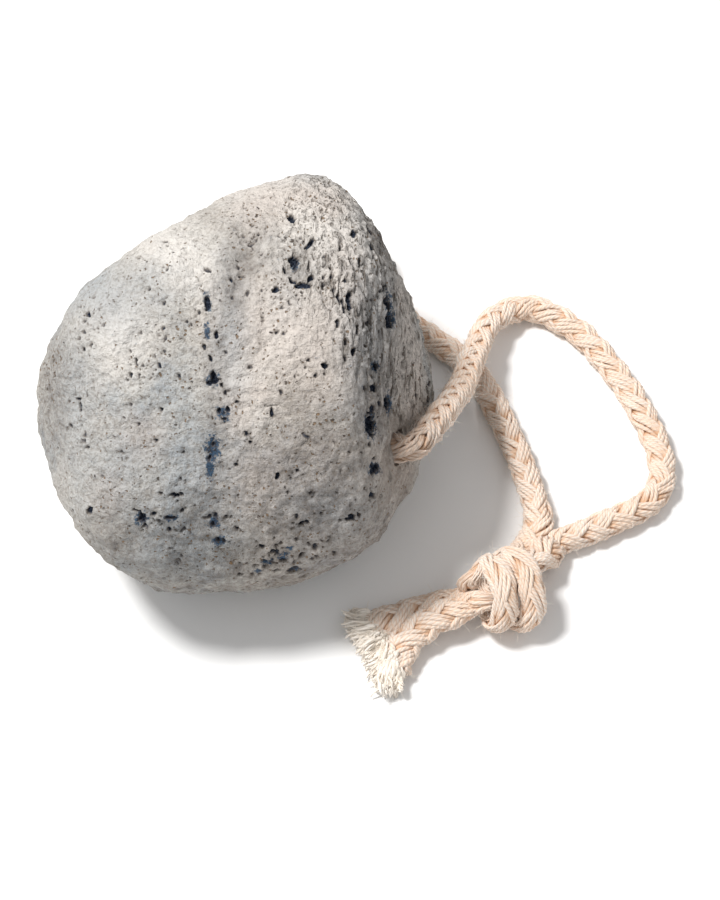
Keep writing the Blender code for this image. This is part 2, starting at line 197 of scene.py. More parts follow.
NEAR_KNOT = (
    (0.0585, -0.0245, 0.0040, 1.30, 1.00), (0.0562, -0.0268, 0.0054, 1.35, 0.95),
    (0.0534, -0.0300, 0.0069, 1.25, 0.90), (0.0509, -0.0329, 0.0077, 1.20, 0.92),
    (0.0483, -0.0344, 0.0075, 0.95, 0.75), (0.0464, -0.0342, 0.0076, 0.70, 0.58),
    (0.0461, -0.0321, 0.0085, 0.70, 0.50), (0.0479, -0.0300, 0.0095, 0.80, 0.50),
    *wrap(RIGHT_WRAP_HEIGHT, ((0, -0.0006), (30, -0.0017), (60, -0.0025), (90, -0.0028), (120, -0.0028),
                              (150, -0.0024), (180, -0.0017), (208, -0.0009))),
    in_knot(0.0002, -0.0034, -0.0036, 0.90, 0.50), in_knot(0.0020, -0.0024, -0.0026, 0.80, 0.55),
    in_knot(0.0044, -0.0014, -0.0022, 0.85, 0.70), (0.0430, -0.0344, 0.0041, 1.00, 0.90),
    (0.0405, -0.0348, 0.0032, 1.08, 0.98),
)
FAR_KNOT = (
    (0.0567, -0.0159, 0.0026, 1.06, 1.00), (0.0566, -0.0190, 0.0026, 1.16, 1.00),
    (0.0558, -0.0220, 0.0028, 1.25, 0.98),
    (0.0545, -0.0243, 0.0036, 1.30, 0.95), (0.0526, -0.0262, 0.0052, 1.30, 0.90),
    (0.0503, -0.0279, 0.0064, 1.30, 0.84), (0.0477, -0.0295, 0.0070, 1.35, 0.82),
    (0.0454, -0.0313, 0.0070, 1.40, 0.80), (0.0440, -0.0326, 0.0074, 1.30, 0.72),
    (0.0438, -0.0325, 0.0088, 1.05, 0.60),
    *wrap(LEFT_WRAP_HEIGHT, ((0, 0.0033), (30, 0.0029), (60, 0.0026), (90, 0.0025), (120, 0.0026),
                             (150, 0.0028), (180, 0.0030), (208, 0.0029))),
    in_knot(0.0028, -0.0034, -0.0034, 0.90, 0.50), in_knot(0.0034, -0.0022, -0.0014, 0.80, 0.55),
    in_knot(0.0050, -0.0012, 0.0002, 0.90, 0.72), (0.0436, -0.0364, 0.0058, 1.00, 0.88),
)
UPPER_TAIL = (
    (0.0384, -0.0352, 0.0028, 1.12, 1.00), (0.0341, -0.0364, LYING, 1.18, 1.00),
    (0.0306, -0.0377, 0.0025, 1.22, 0.98), (0.0274, -0.0388, 0.0024, 1.22, 0.90),
    (0.0246, -0.0396, 0.0022, 1.10, 0.75),
)
LOWER_TAIL = (
    (0.0415, -0.0374, 0.0053, 1.08, 0.95), (0.0378, -0.0387, 0.0048, 1.15, 0.98),
    (0.0350, -0.0401, 0.0041, 1.18, 0.98), (0.0326, -0.0417, 0.0034, 1.20, 0.95),
    (0.0308, -0.0438, 0.0029, 1.22, 0.92), (0.0297, -0.0462, 0.0026, 1.20, 0.86),
    (0.0291, -0.0484, 0.0023, 1.08, 0.75),
)

# ---- Braid: eight bundles of four yarns, four turning each way, each over two and under two.
BUNDLES = 4
YARNS = 4
BRAID_LEAD = 0.0216
BRAID_RADIUS = 0.00200
BRAID_WAVE = 0.00040
YARN_RADIUS = 0.00045
YARN_SPACING = 0.00064
YARN_SIDES = 5
YARN_SINK = 0.00009
BRAID_STEP = 0.00060
KNOT_LEAD = 0.45
FLARE = 0.12
FLARE_LENGTH = 0.0075
# Unevenness along a yarn, as a wavelength and a size: its turn, its rise and its thickness.
YARN_SWAY = (0.0045, 0.20)
YARN_CROWN = (0.0022, 0.00026)
YARN_SWELL = (0.0026, 0.34)
# A point takes painted crevice shade from this share of the cord's radius inwards, fully so this much
# further in.
CREVICE_SHADE_FROM = 0.99
CREVICE_SHADE_OVER = 0.30
THREAD_UNIT = 0.001
CORE_RADIUS = 0.0017
CORE_SIDES = 10
# The reach of the painted shade and soiling round the hole's mouths.
SOIL_AND_SHADE_REACH = 0.0092

# ---- Frayed ends: tufts from a line of roots to a line of tips.
NEAR_ROOTS = ((0.0264, -0.0372, 0.0026), (0.0256, -0.0388, 0.0026), (0.0258, -0.0406, 0.0024),
              (0.0272, -0.0428, 0.0022))
NEAR_TIPS = ((0.0198, -0.0366, 0.0018), (0.0201, -0.0388, 0.0016), (0.0214, -0.0420, 0.0014),
             (0.0232, -0.0450, 0.0014))
FAR_ROOTS = ((0.0276, -0.0430, 0.0026), (0.0284, -0.0455, 0.0028), (0.0288, -0.0475, 0.0028),
             (0.0300, -0.0480, 0.0026))
FAR_TIPS = ((0.0234, -0.0455, 0.0016), (0.0250, -0.0495, 0.0016), (0.0266, -0.0530, 0.0016),
            (0.0304, -0.0526, 0.0014))
TUFTS = 26
FRAY_STEPS = 8
ROOT_LIFT = (-0.0014, 0.0018)
TIP_SHIFT = 0.02
TIP_REACH = (0.90, 1.0)
TIP_LIFT = (-0.0010, 0.0014)
TUFT_SWAY = 0.0009
FIBRE_CURL = 0.0004
FIBRE_TAPER = 0.55
# A tuft's strands, then its fibres: number, scatter, reach towards the tip, and radii.
TUFT_PARTS = (
    (20, 0.0004, (0.75, 0.98), (0.00022, 0.00042)),
    (28, 0.0006, (0.35, 1.0), (0.00003, 0.00008)),
)

# ---- Loose hairs on the strands.
HAIRS = 1400
HAIR_STEPS = 5
HAIR_LENGTH = (0.0005, 0.0016)
HAIR_RADIUS = 0.000022
HAIR_ROOT = -0.2
HAIR_OUTWARD = 0.55
HAIR_SCATTER = 0.6
HAIR_BEND = 0.35


def direction(azimuth, elevation):
    around = math.radians(azimuth)
    rise = math.radians(elevation)
    return Vector((math.cos(around) * math.cos(rise), math.sin(around) * math.cos(rise), math.sin(rise)))


def unit(rows):
    return rows / np.linalg.norm(rows, axis=-1, keepdims=True)


def noises(places):
    return np.array([noise.noise(place) for place in places])


def distances(places, middle):
    return np.linalg.norm(places - np.array(middle), axis=1)


def above_floor(places, gap):
    places[..., 2] = np.maximum(places[..., 2], gap)
    return places


def tree_of(places):
    tree = KDTree(len(places))
    for index, place in enumerate(places):
        tree.insert(place, index)
    tree.balance()
    return tree


def nudge(dice, reach):
    return Vector([dice.uniform(-reach, reach) for _ in range(3)])


def scatter(dice, spread):
    return Vector([dice.gauss(0, spread) for _ in range(3)])


def add_object(name, data):
    made = bpy.data.objects.new(name, data)
    bpy.context.collection.objects.link(made)
    return made


def add_camera():
    data = bpy.data.cameras.new("camera")
    data.lens = VIEW_LENS
    data.sensor_width = VIEW_SENSOR
    data.clip_end = 20
    camera = add_object("camera", data)
    turn = (-VIEW_OUT).to_track_quat("-Z", "Y")
    camera.matrix_world = Matrix.LocRotScale(VIEW_PLACE, turn, None)
    bpy.context.scene.camera = camera


def add_piece(mesh, finish):
    """A piece that has its mesh's name."""
    piece = add_object(mesh.name, mesh)
    piece.data.materials.append(finish)
    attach(piece, "root")
    return piece


def mesh_of(name, points, faces):
    """A smooth mesh from rows of points and a list of faces."""
    mesh = bpy.data.meshes.new(name)
    mesh.from_pydata([tuple(point) for point in points], [], faces)
    mesh.polygons.foreach_set("use_smooth", [True] * len(mesh.polygons))
    mesh.update()
    return mesh


def mesh_from(name, body):
    mesh = bpy.data.meshes.new(name)
    body.to_mesh(mesh)
    body.free()
    return mesh


def points_of(mesh):
    points = np.empty(len(mesh.vertices) * 3)
    mesh.vertices.foreach_get("co", points)
    return points.reshape(-1, 3)


def put_values(mesh, name, values):
    """One number on each point of the mesh, for its material."""
    layer = mesh.attributes.new(name, "FLOAT", "POINT")
    layer.data.foreach_set("value", np.asarray(values, dtype=np.float32))


# ---------------------------------------------------------------- materials
def linear(red, green, blue):
    """A colour given from 0 to 255 as it looks, in the numbers that a shader takes."""
    made = []
    for part in (red, green, blue):
        part /= 255
        made.append(part / 12.92 if part < 0.04045 else ((part + 0.055) / 1.055) ** 2.4)
    return (*made, 1.0)


class Nodes:
    """Short ways to build one material's nodes, with a colour that is painted over in turn."""

    def __init__(self, name, roughness, specular, colour):
        self.material = bpy.data.materials.new(name)
        self.material.use_nodes = True
        self.tree = self.material.node_tree
        self.shader = self.tree.nodes["Principled BSDF"]
        self.shader.inputs["Roughness"].default_value = roughness
        self.shader.inputs["Specular IOR Level"].default_value = specular
        self.colour = colour

    def add(self, kind, inputs, **settings):
        node = self.tree.nodes.new(kind)
        for name, value in settings.items():
            setattr(node, name, value)
        for name, value in inputs.items():
            self.put(node.inputs[name], value)
        return node

    def put(self, socket, value):
        if isinstance(value, bpy.types.NodeSocket):
            self.tree.links.new(value, socket)
        else:
            socket.default_value = value

    def place(self):
        return self.add("ShaderNodeTexCoord", {}).outputs["Object"]

    def value(self, name):
        return self.add("ShaderNodeAttribute", {}, attribute_name=name).outputs["Fac"]

    def noise(self, scale, detail=3.0, roughness=0.55, at=None, distortion=0.0):
        inputs = {"Scale": scale, "Detail": detail, "Roughness": roughness, "Distortion": distortion,
                  "Vector": at or self.place()}
        return self.add("ShaderNodeTexNoise", inputs).outputs["Fac"]

    def cells(self, scale, at):
        return self.add("ShaderNodeTexVoronoi", {"Scale": scale, "Vector": at}).outputs["Distance"]

    def ramp(self, value, low, high, start=0.0, end=1.0):
        """value from low to high made into start to end, and held outside that."""
        inputs = {"Value": value, "From Min": low, "From Max": high, "To Min": start, "To Max": end}
        return self.add("ShaderNodeMapRange", inputs).outputs["Result"]

    def math(self, operation, first, second=0.0, kind="ShaderNodeMath"):
        return self.add(kind, {0: first, 1: second}, operation=operation).outputs[0]

    def vector(self, operation, first, second):
        return self.math(operation, first, second, "ShaderNodeVectorMath")

    def times(self, first, second):
        return self.math("MULTIPLY", first, second)

    def less(self, first, second):
        return self.math("SUBTRACT", first, second)

    def mix(self, share, first, second, blend="MIX"):
        inputs = {0: share, 6: first, 7: second}
        return self.add("ShaderNodeMix", inputs, data_type="RGBA", blend_type=blend).outputs[2]

    def paint(self, share, colour, blend="MIX"):
        self.colour = self.mix(share, self.colour, colour, blend)

    def finish(self, height, distance, strength):
        """The material, with its colour and with relief from a height."""
        inputs = {"Height": height, "Distance": distance, "Strength": strength}
        self.put(self.shader.inputs["Base Color"], self.colour)
        self.put(self.shader.inputs["Normal"], self.add("ShaderNodeBump", inputs).outputs["Normal"])
        return self.material


def pumice_material():
    nodes = Nodes("pumice", 0.95, 0.15, linear(173, 177, 180))
    nodes.paint(nodes.ramp(nodes.noise(60), 0.40, 0.60), linear(195, 190, 184))
    nodes.paint(nodes.ramp(nodes.noise(230, 5.0, 0.65), 0.36, 0.66, 0.0, 0.75), linear(206, 203, 197))
    # Pale tone, and painted highlight on the top and along the ridge's crest.
    pale_and_highlight = nodes.value("pale_and_highlight")
    nodes.paint(nodes.times(pale_and_highlight, 0.80), linear(241, 236, 230))
    nodes.paint(nodes.times(nodes.value("warm"), 0.50), linear(208, 194, 184))
    nodes.paint(nodes.times(nodes.value("cool"), 0.55), linear(166, 172, 177))
    # Painted shade, with some darker brown-grey tone, towards the bottom and the lower right and in hollows,
    # made patchy.
    uneven = nodes.ramp(nodes.noise(420, 5.0, 0.7), 0.34, 0.66, 0.15, 1.0)
    nodes.paint(nodes.times(nodes.value("shade_and_tone"), uneven), (0.385, 0.372, 0.370, 1.0), "MULTIPLY")
    # Painted fine shade darkens the grain's low spots, less where it is pale or highlighted.
    grain = nodes.noise(1500, 4.0, 0.7)
    grain_shade = nodes.times(nodes.ramp(grain, 0.32, 0.56, 0.64, 0.0), nodes.ramp(pale_and_highlight, 0.0, 0.8, 1.0, 0.55))
    nodes.paint(grain_shade, linear(122, 111, 99))
    # Pores: round small cells that the surface cuts, thicker in some parts than in others.
    place = nodes.place()
    swirl = nodes.add("ShaderNodeTexNoise", {"Scale": 1500.0, "Detail": 3.0, "Vector": place})
    moved = nodes.vector("MULTIPLY", swirl.outputs["Color"], (0.0011, 0.0011, 0.0011))
    at = nodes.vector("ADD", place, moved)
    crowd = nodes.ramp(nodes.noise(170, 4.0, 0.65), 0.34, 0.64, 0.02, 0.22)
    fine_pores = nodes.ramp(nodes.less(nodes.cells(950.0, at), crowd), -0.04, 0.06, 1.0, 0.0)
    wide_pores = nodes.less(nodes.cells(420.0, at), nodes.times(crowd, 0.55))
    wide_pores = nodes.ramp(wide_pores, -0.02, 0.03, 1.0, 0.0)
    # The pores are painted dark, ochre and brown, as shade in the holes.
    nodes.paint(nodes.times(fine_pores, 0.80), linear(132, 104, 72))
    nodes.paint(nodes.times(wide_pores, 0.85), linear(78, 66, 56))
    # On the right shoulder the stone is drawn out into fine upright fibres and slits.
    turned = nodes.add("ShaderNodeMapping", {"Vector": place, "Rotation": (FACE_TILT, 0.0, 0.0)})
    drawn = nodes.vector("MULTIPLY", turned.outputs[0], (1.0, 0.16, 1.0))
    slits = nodes.ramp(nodes.noise(1250, 3.0, 0.6, at=drawn, distortion=0.4), 0.33, 0.47, 1.0, 0.0)
    slits = nodes.times(slits, nodes.value("streak"))
    # The slits are painted dark brown, as shade in them.
    nodes.paint(nodes.times(slits, 0.75), linear(104, 92, 80))
    # Painted navy-black shade lies granular in and round some pits.
    patchy = nodes.ramp(nodes.noise(1300, 5.0, 0.75), 0.32, 0.68, -1.0, 0.3)
    navy_shade = nodes.ramp(nodes.math("ADD", nodes.value("navy_shade"), patchy), 0.10, 0.50, 0.0, 0.90)
    speckle = nodes.ramp(nodes.noise(2600, 3.0, 0.7), 0.40, 0.66)
    nodes.paint(navy_shade, nodes.mix(speckle, linear(10, 32, 58), linear(52, 88, 116)))
    # Every pit is painted shade: brown where it is shallow and navy black where it is deep.
    depth = nodes.value("pit")
    nodes.paint(nodes.ramp(depth, 0.08, 0.35, 0.0, 0.45), linear(120, 104, 88))
    speckle = nodes.ramp(nodes.noise(2600, 2.0), 0.42, 0.70)
    nodes.paint(nodes.ramp(depth, 0.22, 0.75), nodes.mix(speckle, linear(24, 30, 44), linear(74, 82, 96)))
    pores = nodes.times(nodes.math("MAXIMUM", fine_pores, wide_pores), 0.55)
    height = nodes.less(nodes.less(nodes.times(grain, 0.8), pores), nodes.times(slits, 0.7))
    return nodes.finish(nodes.math("ADD", height, nodes.noise(620, 4.0, 0.65)), 0.00085, 1.0)


def cotton_material():
    nodes = Nodes("cotton", 0.88, 0.2, linear(247, 236, 226))
    nodes.shader.inputs["Sheen Weight"].default_value = 0.25
    nodes.shader.inputs["Sheen Roughness"].default_value = 0.6
    nodes.paint(nodes.ramp(nodes.noise(110, 2.0), 0.35, 0.65), linear(243, 224, 208))
    # Painted tan shade in the crevices between the yarns.
    nodes.paint(nodes.ramp(nodes.value("crevice_shade"), 0.15, 0.75, 0.0, 0.95), linear(214, 168, 128))
    # Each yarn is plied: fine threads wind round it.
    yarn = nodes.add("ShaderNodeUVMap", {}, uv_map="yarn").outputs["UV"]
    along, around, _ = nodes.add("ShaderNodeSeparateXYZ", {"Vector": yarn}).outputs
    ply = nodes.math("ADD", nodes.times(along, 0.38), around)
    drawn = nodes.add("ShaderNodeCombineXYZ", {"X": nodes.times(along, 0.8), "Y": nodes.times(ply, 9.0)})
    fibres = nodes.noise(2.2, 3.0, 0.6, at=drawn.outputs["Vector"])
    threads = nodes.ramp(nodes.math("SINE", nodes.times(ply, 2 * math.pi * 3)), -1.0, 1.0)
    # The grooves between the threads are painted shade.
    nodes.paint(nodes.ramp(threads, 0.0, 0.45, 0.52, 0.0), linear(222, 178, 142))
    nodes.paint(nodes.ramp(fibres, 0.30, 0.60, 0.40, 0.0), linear(222, 186, 152))
    # Painted shade where it goes into the hole, with some soiling where it rubs there.
    soil_and_shade_share = nodes.times(nodes.value("soil_and_shade"), nodes.ramp(nodes.noise(500), 0.3, 0.6, 0.6, 1.0))
    nodes.paint(soil_and_shade_share, linear(104, 78, 61))
    return nodes.finish(nodes.math("ADD", nodes.times(threads, 0.6), nodes.times(fibres, 0.8)), 0.00018, 0.8)


def fray_material():
    nodes = Nodes("frayed cotton", 0.9, 0.2, linear(250, 243, 234))
    nodes.shader.inputs["Sheen Weight"].default_value = 0.2
    nodes.paint(nodes.ramp(nodes.noise(420), 0.35, 0.65), linear(238, 228, 215))
    return nodes.finish(nodes.noise(3000, 2.0), 0.00005, 0.5)


# ---------------------------------------------------------------- cord
def smooth_rows(rows, step):
    """Rows of numbers, the first three a place, read a step apart along a smooth curve."""
    rows = np.array(rows, dtype=float)
    padded = np.vstack((2 * rows[0] - rows[1], rows, 2 * rows[-1] - rows[-2]))
    pieces = 16
    t = (np.arange(pieces) / pieces)[:, None]
    fine = []
    for index in range(len(rows) - 1):
        before, start, end, after = padded[index:index + 4]
        bend = 2 * start + (end - before) * t + (2 * before - 5 * start + 4 * end - after) * t ** 2
        fine.append((bend + (3 * start - before - 3 * end + after) * t ** 3) / 2)
    fine = np.vstack((*fine, rows[-1:]))
    reach = np.concatenate(([0], np.cumsum(np.linalg.norm(np.diff(fine[:, :3], axis=0), axis=1))))
    places = np.linspace(0, reach[-1], max(3, round(reach[-1] / step) + 1))
    return np.stack([np.interp(places, reach, column) for column in fine.T], axis=1), places


def carried_frames(points):
    """The way along a path at each point, and two directions across it that never spin."""
    along = unit(np.gradient(points, axis=0))
    side = np.cross(along[0], (0.0, 0.0, 1.0))
    side /= np.linalg.norm(side)
    sides = []
    for way in along:
        side = side - way * side.dot(way)
        side /= np.linalg.norm(side)
        sides.append(side)
    sides = np.array(sides)
    return along, sides, np.cross(along, sides)


def in_knot_share(places):
    return np.exp(-(distances(places, KNOT_MIDDLE) / KNOT_REACH) ** 6)


def squeezed(offsets, rows, along):
    """Offsets across the path, flattened towards the knot's axis and widened along it."""
    from_axis = rows[:, :3] - np.array(KNOT_MIDDLE)
    axis = np.array(KNOT_AXIS)
    near = in_knot_share(rows[:, :3])[:, None]
    from_axis = unit(from_axis - (from_axis @ axis)[:, None] * axis)
    from_axis = from_axis * near + np.array((0.0, 0.0, 1.0)) * (1 - near)
    flat = unit(from_axis - np.sum(from_axis * along, axis=1)[:, None] * along)
    wide = np.cross(along, flat)
    high = np.sum(offsets * flat[:, None], axis=2, keepdims=True)
    broad = np.sum(offsets * wide[:, None], axis=2, keepdims=True)
    rest = offsets - flat[:, None] * high - wide[:, None] * broad
    return rest + flat[:, None] * high * rows[:, None, 4:5] + wide[:, None] * broad * rows[:, None, 3:4]


def tube_faces(rings, sides, first):
    """Quads between the rings of one tube whose points start at first, with its two caps."""
    faces = []
    for ring in range(rings - 1):
        low = first + ring * sides
        for side in range(sides):
            after = (side + 1) % sides
            faces.append((low + side, low + after, low + sides + after, low + sides + side))
    faces.append(tuple(range(first + sides - 1, first - 1, -1)))
    last = first + (rings - 1) * sides
    faces.append(tuple(range(last, last + sides)))
    return faces


def wander(seed, places, wavelength, size):
    """A smooth uneven line: one number for each place."""
    return np.array([noise.noise((place / wavelength, seed * 7.31, 0.5)) * size for place in places])


def circles(first, second, sides):
    """Points round a circle in the plane of each pair of directions."""
    angles = 2 * math.pi * np.arange(sides) / sides
    return first[..., None, :] * np.cos(angles)[:, None] + second[..., None, :] * np.sin(angles)[:, None]


def yarn_uvs(places):
    """For the corners of a yarn's faces: how far along it they are, and what share of the way round."""
    uvs = []
    for low, high in zip(places / THREAD_UNIT, places[1:] / THREAD_UNIT):
        for corner in range(YARN_SIDES):
            left = corner / YARN_SIDES
            right = (corner + 1) / YARN_SIDES
            uvs += (low, left, low, right, high, right, high, left)
    return uvs + [0.0, 0.0] * (2 * YARN_SIDES)


def braided_strand(name, rows, seed):
    """A braid that follows rows of places with widths and heights, as one mesh, and its path."""
    rows, places = smooth_rows(rows, BRAID_STEP)
    path = rows[:, :3]
    along, side, up = carried_frames(path)
    flare = 1 + FLARE * np.clip((places - places[-1] + FLARE_LENGTH) / FLARE_LENGTH, 0, 1) ** 1.5
    lead = BRAID_LEAD * (1 + KNOT_LEAD * in_knot_share(path))
    turns = np.concatenate(([0], np.cumsum(np.diff(places) / lead[1:])))
    abreast = BRAID_RADIUS * math.cos(math.atan(2 * math.pi * BRAID_RADIUS / BRAID_LEAD))
    points, faces, crevice_shade = [], [], []
    for way in (1, -1):
        for bundle in range(BUNDLES):
            start = bundle * math.pi / 2
            crossing = 8 * turns + way * 2 * bundle
            peak = 0.5 if way == 1 else 1.5
            rise = BRAID_WAVE * np.cos(2 * math.pi * (crossing - peak) / 4)
            for yarn in range(YARNS):
                number = (bundle * 2 + (way > 0)) * YARNS + yarn + seed * 50
                shift = (yarn - (YARNS - 1) / 2) * YARN_SPACING
                turn = start + way * 2 * math.pi * turns
                turn = turn + shift / abreast + wander(number, places, *YARN_SWAY)
                crown = wander(number + 0.5, places, *YARN_CROWN) - YARN_SINK
                out = side * np.cos(turn)[:, None] + up * np.sin(turn)[:, None]
                centre = out * ((BRAID_RADIUS + rise + crown) * flare)[:, None]
                across = unit(np.cross(unit(np.gradient(path + centre, axis=0)), out))
                thick = YARN_RADIUS * (1 + wander(number + 0.25, places, *YARN_SWELL))
                offsets = centre[:, None] + circles(out, across, YARN_SIDES) * thick[:, None, None]
                reach = np.linalg.norm(offsets, axis=2) / (CORD_DIAMETER / 2)
                crevice_shade.append(np.clip((CREVICE_SHADE_FROM - reach) / CREVICE_SHADE_OVER, 0, 1).reshape(-1))
                faces += tube_faces(len(places), YARN_SIDES, len(points) * len(places) * YARN_SIDES)
                points.append((path[:, None] + squeezed(offsets, rows, along)).reshape(-1, 3))
    faces += tube_faces(len(places), CORE_SIDES, len(points) * len(places) * YARN_SIDES)
    core = squeezed(circles(side, up, CORE_SIDES) * CORE_RADIUS, rows, along) + path[:, None]
    points.append(core.reshape(-1, 3))
    # The core, deep inside, is fully painted shade.
    crevice_shade.append(np.ones(len(places) * CORE_SIDES))
    points = above_floor(np.vstack(points), 0.00004)
    mesh = mesh_of(name, points, faces)
    put_values(mesh, "crevice_shade", np.concatenate(crevice_shade))
    to_mouth = np.minimum(distances(points, NEAR_MOUTH), distances(points, FAR_MOUTH))
    put_values(mesh, "soil_and_shade", np.exp(-(to_mouth / SOIL_AND_SHADE_REACH) ** 2))
    yarns = yarn_uvs(places) * (2 * BUNDLES * YARNS)
    uvs = np.zeros(2 * len(mesh.loops), dtype=np.float32)
    uvs[:len(yarns)] = yarns
    mesh.uv_layers.new(name="yarn").data.foreach_set("uv", uvs)
    return mesh, path


def fibre_tubes(name, lines, radii, sides):
    """Thin closed tubes along lines, all with the same number of points."""
    count, steps, _ = lines.shape
    heading = unit(np.gradient(lines, axis=1))
    side = unit(np.cross(heading, (0.31, 0.22, 0.92)))
    rings = circles(side, np.cross(side, heading), sides)
    points = (lines[:, :, None] + rings * radii[:, :, None, None]).reshape(-1, 3)
    faces = []
    for fibre in range(count):
        faces += tube_faces(steps, sides, fibre * steps * sides)
    return mesh_of(name, above_floor(points, 0.00003), faces)


def between(marks, share):
    """A place part of the way along a line of marks, by share of its number of gaps."""
    place = min(max(share, 0.0), 0.9999) * (len(marks) - 1)
    index = int(place)
    return Vector(marks[index]).lerp(Vector(marks[index + 1]), place - index)


def frayed_end(name, roots, tips, seed):
    """Matted tufts and loose fibres from the line of roots to the line of tips."""
    dice = random.Random(seed)
    lines, radii = [], []
    t = np.linspace(0, 1, FRAY_STEPS)
    row = t[:, None]
    for tuft in range(TUFTS):
        share = (tuft + 0.5) / TUFTS
        base = between(roots, share) + Vector((0, 0, dice.uniform(*ROOT_LIFT)))
        tip = between(tips, share + dice.uniform(-TIP_SHIFT, TIP_SHIFT))
        tip = base.lerp(tip, dice.uniform(*TIP_REACH)) + Vector((0, 0, dice.uniform(*TIP_LIFT)))
        sway = np.array(nudge(dice, TUFT_SWAY))
        for number, spread, reach, sizes in TUFT_PARTS:
            for _ in range(number):
                start = base + scatter(dice, spread)
                end = base.lerp(tip, dice.uniform(*reach)) + scatter(dice, spread * 1.2)
                curl = np.array(scatter(dice, FIBRE_CURL))
                phase = dice.uniform(0, 3)
                line = (np.array(start) * (1 - row) + np.array(end) * row + sway * np.sin(math.pi * row)
                        + curl * np.sin(5 * row + phase))
                lines.append(above_floor(line, 0.00012))
                radii.append(dice.uniform(*sizes) * (1 - FIBRE_TAPER * t ** 3))
    return fibre_tubes(name, np.array(lines), np.array(radii), 4)


def fuzz(name, strand, path, seed):
    """Short loose hairs that stand off a strand's yarns."""
    dice = np.random.default_rng(seed)
    points = points_of(strand)
    crevice_shade = np.empty(len(points))
    strand.attributes["crevice_shade"].data.foreach_get("value", crevice_shade)
    roots = points[dice.choice(np.flatnonzero(crevice_shade < 0.05), HAIRS)]
    tree = tree_of(path)
    out = unit(roots - np.array([tree.find(root)[0][:] for root in roots]))
    way = unit(out * HAIR_OUTWARD + dice.normal(0, HAIR_SCATTER, (HAIRS, 3)))
    bend = dice.normal(0, HAIR_BEND, (HAIRS, 3))
    length = dice.uniform(*HAIR_LENGTH, HAIRS)[:, None, None]
    t = np.linspace(HAIR_ROOT, 1, HAIR_STEPS)[None, :, None]
    lines = roots[:, None] + (way[:, None] * t + bend[:, None] * t * t) * length
    return fibre_tubes(name, above_floor(lines, 0.00005), np.full((HAIRS, HAIR_STEPS), HAIR_RADIUS), 3)


def full(rows):
    """Rows of places made into rows of places, widths and heights."""
    return [tuple(row) if len(row) == 5 else (*row, 1.0, 1.0) for row in rows]


def make_cords():
    cotton = cotton_material()
    frayed = fray_material()
    near_rows = full((STRANDS_MEET, *NEAR_ROUTE, *NEAR_KNOT, *UPPER_TAIL))
    far_rows = full((STRANDS_MEET, *FAR_ROUTE[:-3], *FAR_KNOT, *LOWER_TAIL))
    mesh, path = braided_strand("near_strand", near_rows, 1)
    near = add_piece(mesh, cotton)
    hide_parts("cord_near_run", "cord_upper_tail")
    near_fray = add_piece(frayed_end("near_fray", NEAR_ROOTS, NEAR_TIPS, 3), frayed)
    near_fuzz = add_piece(fuzz("near_fuzz", mesh, path, 11), frayed)
    mesh, path = braided_strand("far_strand", far_rows, 2)
    far = add_piece(mesh, cotton)
    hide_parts("cord_far_run", "cord_lower_tail", "cord_knot")
    far_fray = add_piece(frayed_end("far_fray", FAR_ROOTS, FAR_TIPS, 5), frayed)
    far_fuzz = add_piece(fuzz("far_fuzz", mesh, path, 12), frayed)


